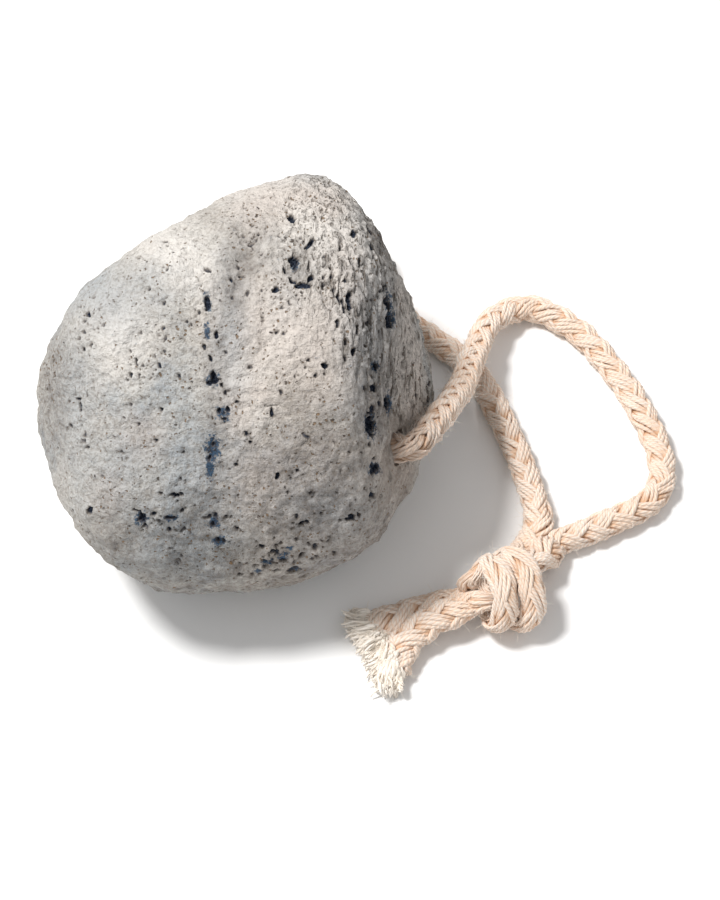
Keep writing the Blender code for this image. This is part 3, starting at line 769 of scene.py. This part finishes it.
# ---------------------------------------------------------------- stone
# Pits that the view shows: across and down in its 720 by 900 frame, then width and height in
# tenths of a millimetre, and the lean in degrees anticlockwise where one isn't upright.
SEEN_PITS = (
    (84, 349, 9, 9), (90, 344, 6, 8), (88, 314, 9, 11, -20), (85, 321, 6, 8), (102, 324, 7, 7),
    (97, 327, 6, 6), (123, 276, 8, 7), (138, 258, 6, 6), (167, 268, 8, 7, 40), (148, 288, 6, 9),
    (165, 242, 9, 6, 20), (164, 303, 7, 7), (207, 303, 11, 30, 5), (199, 312, 6, 8), (186, 321, 7, 7),
    (163, 327, 7, 9), (165, 337, 6, 11), (163, 350, 7, 8), (158, 365, 9, 11), (135, 361, 7, 14),
    (129, 350, 6, 8), (130, 374, 7, 13), (138, 376, 6, 11), (142, 366, 6, 8), (216, 335, 8, 15),
    (204, 347, 7, 12), (210, 358, 8, 12), (214, 377, 14, 22, 10), (179, 376, 7, 8), (55, 371, 7, 9),
    (239, 274, 7, 7), (232, 297, 6, 8), (292, 218, 14, 22, 25), (253, 242, 8, 7), (257, 238, 6, 6),
    (259, 233, 6, 7), (253, 224, 7, 6), (279, 236, 8, 7), (302, 237, 7, 8), (310, 244, 9, 24, -38),
    (295, 259, 17, 21, 15), (304, 284, 34, 12), (294, 280, 10, 16, 50), (312, 277, 10, 17, -35),
    (310, 264, 5, 22, 5), (324, 256, 6, 10), (324, 266, 6, 10), (325, 276, 6, 12), (323, 284, 6, 8),
    (331, 267, 6, 9), (332, 276, 7, 10), (276, 289, 12, 17, -40), (262, 290, 7, 6), (345, 281, 7, 13),
    (340, 297, 8, 26, 8), (351, 300, 10, 45, 4), (354, 232, 10, 15, 20), (369, 229, 9, 19, 25),
    (373, 247, 9, 19, 25), (384, 288, 10, 26, 12), (387, 303, 12, 30, 10), (389, 321, 12, 28, 5),
    (370, 320, 7, 13), (263, 317, 7, 6), (277, 332, 11, 8, 20), (284, 334, 8, 7), (282, 307, 6, 6),
    (289, 303, 6, 8), (297, 295, 7, 6), (354, 351, 11, 15), (309, 360, 7, 8), (325, 366, 14, 14),
    (306, 367, 7, 7), (295, 377, 6, 7), (376, 366, 13, 14), (374, 388, 11, 16), (387, 404, 13, 32, 12),
    (428, 383, 7, 12), (429, 400, 6, 12), (416, 396, 6, 15), (407, 380, 6, 15), (237, 402, 7, 8),
    (77, 399, 13, 7), (79, 407, 7, 22), (70, 426, 8, 9), (85, 434, 8, 10), (85, 441, 6, 8), (87, 448, 6, 7),
    (121, 460, 6, 7), (130, 405, 7, 6), (161, 410, 9, 9), (138, 425, 6, 7), (155, 441, 7, 9),
    (174, 496, 15, 11), (180, 480, 7, 8), (142, 518, 14, 19, 15), (134, 511, 13, 6, -20), (144, 527, 8, 9),
    (153, 515, 8, 8), (171, 517, 22, 8), (159, 521, 7, 7), (169, 530, 8, 9), (170, 549, 7, 6),
    (180, 557, 8, 6), (177, 564, 7, 6), (209, 517, 8, 9), (215, 517, 7, 11), (226, 518, 7, 8),
    (213, 525, 7, 11), (218, 540, 8, 11), (224, 540, 7, 9), (237, 530, 8, 8), (213, 446, 8, 10),
    (209, 459, 7, 10), (219, 411, 8, 14), (228, 410, 7, 14), (224, 419, 13, 6), (210, 383, 12, 8),
    (236, 465, 7, 9), (246, 434, 8, 10, 30), (250, 443, 8, 9), (272, 413, 8, 19, 5), (278, 477, 10, 18),
    (298, 472, 8, 9), (303, 524, 20, 12, 30), (351, 518, 17, 12, 20), (322, 514, 8, 7),
    (329, 541, 9, 6, 20), (311, 493, 8, 7), (288, 493, 6, 7), (373, 410, 8, 22, 5), (372, 426, 16, 42, 4),
    (375, 469, 22, 16, 40), (372, 495, 9, 13), (263, 561, 13, 5, 10), (262, 548, 12, 8),
    (272, 552, 16, 7, 10), (283, 560, 14, 8), (291, 572, 16, 7, 10), (256, 566, 12, 6),
    (302, 556, 12, 6, 20), (240, 574, 14, 6), (276, 545, 8, 6), (316, 548, 10, 7, 30), (335, 553, 8, 8),
    (322, 560, 9, 5, 20), (243, 235, 6, 5, 20), (250, 243, 7, 6), (261, 254, 6, 5), (238, 264, 6, 9),
    (231, 278, 8, 11, 10), (243, 274, 5, 6), (286, 268, 8, 16, 30), (345, 305, 7, 32, 6), (335, 290, 6, 24),
    (358, 330, 6, 20), (341, 246, 6, 14, 10), (350, 262, 6, 22, 12), (360, 262, 6, 18, 15),
    (338, 322, 7, 18), (347, 342, 6, 16), (274, 563, 11, 5, 5), (295, 567, 12, 5, 10), (276, 571, 16, 5, 5),
    (90, 510, 9, 15),
)
# Soft dents and low ridges: across, down, width and height in mm, lean, and depth in mm.
SEEN_DENTS = (
    (230, 288, 6, 5, 0, 0.3), (248, 256, 5, 9, -35, 0.8), (233, 219, 2.4, 2, 0, 0.25),
    (289, 269, 2.4, 2.4, 0, 0.3), (301, 270, 5.4, 5.2, 0, 0.95), (334, 424, 3, 4.6, 10, 0.4),
    (146, 522, 4.4, 4.4, 0, 0.35), (344, 216, 3, 7, 30, 0.35), (372, 425, 3.2, 7.5, 4, 0.5),
    (389, 405, 2.6, 6, 10, 0.45), (132, 366, 4, 6, 0, 0.25), (212, 450, 4.5, 6.5, 0, 0.3),
    (366, 280, 2.6, 8, 12, 0.35), (302, 400, 5, 5, 0, 0.15), (180, 420, 6, 4, 10, 0.15),
    (385, 425, 0.9, 8, -12, -0.28), (391, 452, 0.9, 7, 0, -0.3), (383, 500, 0.9, 10, 4, -0.25),
    (377, 538, 0.9, 8, 8, -0.25), (326, 428, 1.8, 6, 5, 0.55), (332, 470, 1.4, 6, 20, 0.35),
    (262, 480, 7, 3, 15, 0.15), (120, 440, 5, 5, 0, 0.15), (350, 470, 5, 4, 30, 0.25),
)
# Patches of painted navy-black shade, warm tone, pale tone and painted highlight, cool tone, and painted
# shade with darker tone: across, down, width and height in mm, and any lean.
# Navy-black painted shade, in and round pits and dents.
SEEN_NAVY_SHADE = (
    (212, 450, 3.1, 5.4), (210, 469, 1.6, 4.8), (224, 413, 3, 3), (211, 382, 2.4, 2.2),
    (215, 377, 1.7, 2.4, 10), (207, 303, 1.3, 3.4, 5), (372, 426, 2.4, 5.6, 4), (141, 518, 2.6, 2.6),
    (171, 517, 2.6, 1.2), (389, 308, 1.6, 8, 10), (375, 469, 2.6, 2.4, 40), (219, 540, 2.8, 2.2),
    (207, 330, 1.2, 3.6, 5), (214, 522, 2.4, 2.6), (268, 562, 2, 1.2, 5), (282, 556, 2.4, 1.3, 10),
    (296, 569, 1.8, 0.9, 10), (258, 571, 1.6, 0.8), (289, 548, 1.4, 1, 20), (376, 366, 1.8, 2),
    (389, 404, 1.6, 4.6, 10), (296, 262, 1.8, 2),
)
SEEN_WARM = (
    (352, 300, 9, 24, 8), (300, 195, 16, 5), (143, 437, 8, 7.5), (258, 392, 9, 5.5), (237, 410, 6.5, 12),
    (265, 205, 14, 9, 20), (330, 205, 8, 6), (300, 330, 12, 8), (110, 490, 6, 7), (320, 350, 30, 30),
    (405, 380, 18, 60, -5), (330, 500, 26, 34, 20), (395, 470, 16, 26, 15), (250, 330, 14, 22),
    (270, 480, 20, 18),
)
# The pale patches on the top and the thin ones along the ridge's crest are painted highlight.
SEEN_PALE_AND_HIGHLIGHT = (
    (300, 192, 30, 7, -20), (290, 200, 34, 9, -20), (330, 225, 14, 14), (345, 300, 9, 22),
    (180, 255, 20, 10, -35), (120, 330, 10, 14), (290, 330, 20, 12), (240, 380, 10, 14),
    (325, 205, 26, 14, 30), (352, 250, 10, 26, 12), (384, 335, 1.6, 16, -3), (382, 372, 1.6, 16, 3),
    (388, 408, 1.8, 14, -12), (390, 436, 1.6, 12, 5), (384, 470, 1.8, 20, 10), (404, 360, 6, 30, -8),
    (415, 395, 7, 22),
)
SEEN_COOL = (
    (110, 300, 14, 12), (190, 470, 12, 20), (330, 510, 18, 14), (75, 400, 8, 26), (370, 330, 9, 22),
    (180, 545, 20, 9), (230, 330, 6, 24), (120, 470, 14, 16),
)
# Painted shade towards the bottom edge, the lower right and the left edge and in hollows, with some darker
# brown-grey tone.
SEEN_SHADE_AND_TONE = (
    (200, 592, 34, 8), (290, 585, 28, 9, 12), (345, 565, 18, 9, 35), (385, 530, 10, 14, -30),
    (410, 490, 8, 16, -15), (326, 428, 3.5, 7, 5), (268, 562, 8, 4, 5), (246, 246, 2.6, 3, -20),
    (255, 238, 1.8, 1.2), (234, 262, 1.6, 2.6), (240, 282, 1.6, 2.4), (262, 262, 2, 1.6),
    (228, 290, 1.4, 3), (235, 228, 1.8, 1.6), (252, 268, 1.8, 1.4), (312, 432, 11, 11, 10),
    (345, 460, 15, 17), (378, 400, 9, 30, 4), (300, 520, 26, 13, 10), (250, 250, 7, 9, -35),
    (232, 280, 4, 12), (366, 320, 4, 16, 8), (330, 480, 24, 13, 25), (220, 565, 32, 9), (215, 420, 4, 26),
    (52, 400, 5, 20), (200, 530, 20, 12), (300, 262, 4, 6), (380, 240, 4, 10, 25), (240, 560, 30, 8, 5),
    (300, 470, 18, 14), (120, 540, 12, 10, -35),
)
PIT_DEPTH = 0.62
DEEPEST_PIT = 0.0014
PIT_MARGIN = 1.7
PIT_EDGE = 1.12
PIT_WALL = 0.42
# A pit's painted shade is full at this depth.
FULL_SHADE_DEPTH = 0.0009
SMALL_PITS = 900
SMALL_PIT_SIZE = (0.00030, 0.00085)
HIDDEN_PITS = 210
HIDDEN_PIT_SIZE = (0.0006, 0.0026)
PIT_SKEW = 2.2
PIT_SEED = 7
# Smaller pits beside a pit: number, distance, size and stretch as shares of its own.
SATELLITES = 2
SATELLITE_AWAY = (0.8, 1.7)
SATELLITE_SIZE = (0.3, 0.6)
SATELLITE_STRETCH = (0.8, 1.6)
BASE_SUBDIVISIONS = 7
# The view's side has finer faces from SEEN_LIMIT, and fades out over EDGE_FADE at its edge.
SEEN_LIMIT = 0.58
EDGE_FADE = 0.2
HIDDEN_LIMIT = 0.12

FLAT_FACINGS = np.array([direction(azimuth, elevation) for _, azimuth, elevation, _ in FLATS])
FLAT_DISTANCES = np.array([distance for *_, distance in FLATS])
CENTRE = np.array(MIDDLE)


def stone_radii(facings):
    """Distance from the stone's middle to its surface, pits apart, for rows of directions."""
    reach = np.maximum(facings @ FLAT_FACINGS.T, 0) / FLAT_DISTANCES
    radii = np.sum(reach ** ROUNDING, axis=1) ** (-1 / ROUNDING)
    for _, azimuth, elevation, size, height in SWELLS:
        angles = np.arccos(np.clip(facings @ np.array(direction(azimuth, elevation)), -1, 1))
        radii += height * np.exp(-(angles / math.radians(size)) ** 2)
    for wavelength, height in WEATHERING:
        radii += height * noises(facings * (radii / wavelength)[:, None])
    down = np.minimum(facings[:, 2], -1e-6)
    return np.minimum(radii, MIDDLE.z / -down)


def on_rays(facings, radii):
    return CENTRE + facings * radii[:, None]


def surface(facings):
    return on_rays(facings, stone_radii(facings))


def seen_share(facings):
    return np.clip(facings @ TO_VIEW / EDGE_FADE, 0, 1)


def streak_share(facings):
    return np.clip((facings @ np.array(direction(*STREAK_FACING)) - STREAK_EDGE) / STREAK_FADE, 0, 1)


def relief(places, facings):
    """How far the fine lumps stand out: all round, and drawn out up the stone on one side."""
    height = np.zeros(len(places))
    for wavelength, size in RELIEF:
        height += size * noises(places / wavelength)
    grooves = np.clip(1 - np.abs(noises(places / GROOVE_SPACING + 9)) / GROOVE_WIDTH, 0, 1)
    height -= GROOVE_DEPTH * grooves * np.clip(noises(places / GROOVE_PATCH + 4) * 3, 0, 1)
    bends = [noises(places / BEND_LENGTH + shift) for shift in (1, 2, 3)]
    bent = places + STREAK_BEND * np.stack(bends, axis=1)
    drawn = np.stack((bent @ np.array(VIEW_RIGHT) / STREAK_WIDTH, bent @ np.array(VIEW_UP) / STREAK_LENGTH,
                      bent @ TO_VIEW / STREAK_WIDTH), axis=1)
    streak = noises(drawn)
    streak = streak - SLIT_DEPTH * np.clip(1 - np.abs(streak + 0.1) / SLIT_WIDTH, 0, 1)
    share = streak_share(facings)
    return height * (1 - 0.3 * share) + STREAK_HEIGHT * streak * share


def in_view(places):
    """Across and down in the view's frame, in its own units, for rows of places."""
    away = places - np.array(VIEW_PLACE)
    scale = VIEW_LENS / VIEW_SENSOR * VIEW_SIZE[1] / -(away @ TO_VIEW)
    across = VIEW_SIZE[0] / 2 + away @ np.array(VIEW_RIGHT) * scale
    down = VIEW_SIZE[1] / 2 - away @ np.array(VIEW_UP) * scale
    return np.stack((across, down), axis=1)


def seen_spread(flat, across, down, width, height, lean=0):
    """How far places of the view lie from a mark there, as a share of its half size."""
    turn = math.radians(lean)
    aside = (flat[:, 0] - across) / UNITS_PER_MM
    up = (down - flat[:, 1]) / UNITS_PER_MM
    along = up * math.cos(turn) - aside * math.sin(turn)
    over = aside * math.cos(turn) + up * math.sin(turn)
    return np.hypot(over / (width / 2), along / (height / 2))


def sphere_body(subdivisions):
    body = bmesh.new()
    bmesh.ops.create_icosphere(body, subdivisions=subdivisions, radius=1.0)
    return body


def facings_of(body):
    return unit(np.array([vert.co[:] for vert in body.verts]))


class Pit:
    """One pit: its place, its size across two directions, and its depth, all in metres."""

    def __init__(self, place, width, height, depth, row=None, turn=0.0):
        self.place = np.array(place)
        self.width = width
        self.height = height
        self.depth = depth
        self.row = row
        facing = (Vector(place) - MIDDLE).normalized()
        side = facing.orthogonal().normalized()
        other = facing.cross(side)
        self.side = np.array(side * math.cos(turn) + other * math.sin(turn))
        self.other = np.array(other * math.cos(turn) - side * math.sin(turn))
        self.reach = max(width, height) / 2

    def spread(self, places, flat):
        away = places - self.place
        if self.row is None:
            return np.hypot(away @ self.side / (self.width / 2), away @ self.other / (self.height / 2))
        near = np.linalg.norm(away, axis=1) / (self.reach * PIT_MARGIN)
        return np.maximum(seen_spread(flat, *self.row), near)


def in_mm(across, down, width, height, lean=0):
    return across, down, width / 10, height / 10, lean


def with_satellites(rows):
    """The pits with smaller ones close round each, as gas bubbles lie in groups."""
    dice = random.Random(PIT_SEED)
    made = [in_mm(*row) for row in rows]
    for across, down, width, height, lean in tuple(made):
        for _ in range(SATELLITES):
            turn = dice.uniform(0, 2 * math.pi)
            away = dice.uniform(*SATELLITE_AWAY) * max(width, height) * UNITS_PER_MM
            size = max(0.35, dice.uniform(*SATELLITE_SIZE) * min(width, 1.2))
            made.append((across + away * math.cos(turn), down + away * math.sin(turn), size,
                         size * dice.uniform(*SATELLITE_STRETCH), lean))
    return made


def seen_pits(tree):
    pits = []
    for row in with_satellites(SEEN_PITS):
        across = (row[0] - VIEW_SIZE[0] / 2) / VIEW_SIZE[1] * VIEW_SENSOR / VIEW_LENS
        up = (VIEW_SIZE[1] / 2 - row[1]) / VIEW_SIZE[1] * VIEW_SENSOR / VIEW_LENS
        ray = (VIEW_RIGHT * across + VIEW_UP * up - VIEW_OUT).normalized()
        place = tree.ray_cast(VIEW_PLACE, ray)[0]
        if place is not None:
            width, height = row[2] / 1000, row[3] / 1000
            depth = min(PIT_DEPTH * min(width, height) + 0.0002, DEEPEST_PIT)
            pits.append(Pit(place, width, height, depth, row))
    return pits


def evenly_spread(count, dice):
    """Directions spread evenly all round, each moved a little by chance."""
    golden = math.pi * (3 - math.sqrt(5))
    facings = []
    for step in range(count):
        height = 1 - 2 * (step + 0.5) / count
        around = golden * step
        flat = math.sqrt(1 - height * height)
        facing = Vector((flat * math.cos(around), flat * math.sin(around), height))
        facings.append((facing + nudge(dice, 1.6 / math.sqrt(count))).normalized())
    return np.array(facings)


def other_pits():
    """Small pits all over, and larger ones on the sides that the view doesn't show."""
    dice = random.Random(PIT_SEED)
    pits = []
    for count, sizes, seen in ((SMALL_PITS, SMALL_PIT_SIZE, True), (HIDDEN_PITS, HIDDEN_PIT_SIZE, False)):
        facings = evenly_spread(count, dice)
        for facing, place in zip(facings, surface(facings)):
            width = sizes[0] + (sizes[1] - sizes[0]) * dice.random() ** PIT_SKEW
            height = width * dice.uniform(0.8, 1.8)
            turn = dice.uniform(0, math.pi)
            hidden = facing @ TO_VIEW < HIDDEN_LIMIT
            crowded = noise.noise(place / 0.011) > -0.12
            if (crowded if seen else hidden) and place[2] > 0.0025:
                depth = min(PIT_DEPTH * width + 0.0001, DEEPEST_PIT)
                pits.append(Pit(place, width, height, depth, turn=turn))
    return pits


def near_points(tree, pit, margin):
    return [index for _, index, _ in tree.find_range(pit.place, pit.reach * PIT_MARGIN + margin)]


def split_edges(body, wanted):
    """Halve the edges between wanted points, and bring every new point back to the sphere."""
    body.edges.ensure_lookup_table()
    edges = [edge for edge in body.edges if wanted[edge.verts[0].index] and wanted[edge.verts[1].index]]
    bmesh.ops.subdivide_edges(body, edges=edges, cuts=1)
    bmesh.ops.triangulate(body, faces=body.faces)
    body.verts.index_update()
    for vert in body.verts:
        vert.co.normalize()


def refine(body, pits):
    """Smaller faces on the side that is seen, and smaller ones again round the pits."""
    for turn, smallest, margin in ((0, 0.0, 0.0005), (1, 0.0011, 0.0002)):
        facings = facings_of(body)
        places = surface(facings)
        wanted = (facings @ TO_VIEW > SEEN_LIMIT) & (turn == 0)
        tree = tree_of(places)
        for pit in pits:
            if pit.reach * 2 > smallest and (turn == 0 or pit.row is not None):
                wanted[near_points(tree, pit, margin)] = True
        wanted &= places[:, 2] > 0.0004
        split_edges(body, wanted)


def pit_depths(places, pits):
    """How deep the pits go at each place, and the dents apart."""
    flat = in_view(places)
    rough = 0.55 * noises(places / 0.0008) + 0.30 * noises(places / 0.0004)
    depths = np.zeros(len(places))
    tree = tree_of(places)
    for pit in pits:
        near = near_points(tree, pit, 0.0002)
        if near:
            spread = pit.spread(places[near], flat[near]) + rough[near]
            share = np.clip((PIT_EDGE - spread) / PIT_WALL, 0, 1)
            depths[near] = np.maximum(depths[near], share * share * (3 - 2 * share) * pit.depth)
    seen = seen_share(unit(places - CENTRE))
    dents = np.zeros(len(places))
    for *mark, depth in SEEN_DENTS:
        dents += depth / 1000 * np.exp(-seen_spread(flat, *mark) ** 2 * 1.3) * seen
    return depths, dents


def patches(places, rows, softness):
    """How much of a patch is at each place, from 0 to 1."""
    flat = in_view(places)
    made = np.zeros(len(places))
    for row in rows:
        made = np.maximum(made, np.clip((1 + softness - seen_spread(flat, *row)) / (2 * softness), 0, 1))
    return made * seen_share(unit(places - CENTRE))


def add_cutter(name, body):
    return add_object(name, mesh_from(name, body))


def rough_ball(name, middle, size):
    """A ragged ellipsoid that opens a mouth of the hole."""
    body = sphere_body(5)
    for vert in body.verts:
        grow = 1 + 0.10 * noise.noise(vert.co * 1.7) + 0.05 * noise.noise(vert.co * 6)
        vert.co = middle + Vector([part * size[axis] * grow for axis, part in enumerate(vert.co)])
    return add_cutter(name, body)


def hole_cutter():
    body = bmesh.new()
    way = (FAR_MOUTH - NEAR_MOUTH) * 1.25
    turn = way.to_track_quat("Z", "Y").to_matrix().to_4x4()
    bmesh.ops.create_cone(body, cap_ends=True, segments=48, radius1=HOLE_DIAMETER / 2,
                          radius2=HOLE_DIAMETER / 2, depth=way.length,
                          matrix=Matrix.Translation(NEAR_MOUTH + way / 2) @ turn)
    return add_cutter("hole_cutter", body)


def cut_hole(mesh):
    """The mesh with its hole and the hole's two mouths cut out."""
    stone = add_object("uncut", mesh)
    cutters = (rough_ball("near_cutter", HOLLOW_MIDDLE, HOLLOW_SIZE),
               rough_ball("far_cutter", FAR_RIM_MIDDLE, FAR_RIM_SIZE), hole_cutter())
    for cutter in cutters:
        boolean = stone.modifiers.new(cutter.name, "BOOLEAN")
        boolean.operation = "DIFFERENCE"
        boolean.solver = "EXACT"
        boolean.object = cutter
    ready = stone.evaluated_get(bpy.context.evaluated_depsgraph_get())
    made = bpy.data.meshes.new_from_object(ready)
    for item in (stone, *cutters):
        bpy.data.objects.remove(item, do_unlink=True)
    return made


def make_stone():
    body = sphere_body(BASE_SUBDIVISIONS)
    faces = [[vert.index for vert in face.verts] for face in body.faces]
    tree = BVHTree.FromPolygons([Vector(place) for place in surface(facings_of(body))], faces)
    pits = seen_pits(tree) + other_pits()
    refine(body, pits)
    facings = facings_of(body)
    radii = stone_radii(facings)
    places = on_rays(facings, radii)
    depths, dents = pit_depths(places, pits)
    radii -= np.where(places[:, 2] > 0.0002, depths + dents - relief(places, facings), 0)
    for vert, place in zip(body.verts, above_floor(on_rays(facings, radii), 0)):
        vert.co = place
    bmesh.ops.recalc_face_normals(body, faces=body.faces)
    mesh = cut_hole(mesh_from("stone_uncut", body))
    mesh.name = "stone_look"
    finish_stone(mesh, pits)


def by_hole(points):
    """Whether each point is on the drilled hole's wall or in its mouths, which are grey stone with only a
    light painted shade.
    """
    along = np.array((FAR_MOUTH - NEAR_MOUTH).normalized())
    away = points - np.array(NEAR_MOUTH)
    aside = away - (away @ along)[:, None] * along
    return np.linalg.norm(aside, axis=1) < HOLE_DIAMETER * 0.7


def finish_stone(mesh, pits):
    """The piece, with what its material reads at each point."""
    points = points_of(mesh)
    facings = unit(points - CENTRE)
    form = stone_radii(facings)
    places = on_rays(facings, form)
    dents = pit_depths(places, pits)[1] - relief(places, facings)
    depth = form - dents - distances(points, CENTRE)
    mesh.materials.clear()
    mesh.polygons.foreach_set("use_smooth", [True] * len(mesh.polygons))
    # Painted shade in the pits, darker deeper in, and a light one on the hole's wall.
    put_values(mesh, "pit", np.where(by_hole(points), HOLE_WALL_SHADE, np.clip(depth / FULL_SHADE_DEPTH, 0, 1)))
    for name, rows, softness in (("navy_shade", SEEN_NAVY_SHADE, 0.5), ("warm", SEEN_WARM, 0.7),
                                 ("pale_and_highlight", SEEN_PALE_AND_HIGHLIGHT, 0.9), ("cool", SEEN_COOL, 0.8),
                                 ("shade_and_tone", SEEN_SHADE_AND_TONE, 0.7)):
        put_values(mesh, name, patches(places, rows, softness))
    put_values(mesh, "streak", streak_share(facings))
    stone = add_piece(mesh, pumice_material())
    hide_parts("stone")


# ---------------------------------------------------------------- light and floor
def add_key():
    data = bpy.data.lights.new("key", "AREA")
    data.shape = "DISK"
    data.size = KEY_SIZE
    data.energy = KEY_POWER
    data.color = KEY_COLOUR
    lamp = add_object("key", data)
    lamp.location = KEY_PLACE
    lamp.rotation_euler = (Vector(KEY_TARGET) - Vector(KEY_PLACE)).to_track_quat("-Z", "Y").to_euler()


def add_sky():
    world = bpy.data.worlds.new("studio")
    world.use_nodes = True
    background = world.node_tree.nodes["Background"].inputs
    background["Color"].default_value = (1.0, 1.0, 1.0, 1.0)
    background["Strength"].default_value = SKY_STRENGTH
    bpy.context.scene.world = world
    bpy.context.scene.view_settings.view_transform = "Standard"


def add_floor():
    nodes = Nodes("floor", 0.9, 0.0, FLOOR_COLOUR)
    nodes.shader.inputs["Base Color"].default_value = nodes.colour
    body = bmesh.new()
    bmesh.ops.create_grid(body, x_segments=1, y_segments=1, size=FLOOR_REACH)
    mesh = mesh_from("floor", body)
    mesh.materials.append(nodes.material)
    add_object("floor", mesh)


def main():
    add_camera()
    make_cords()
    make_stone()
    add_floor()
    add_sky()
    add_key()


main()
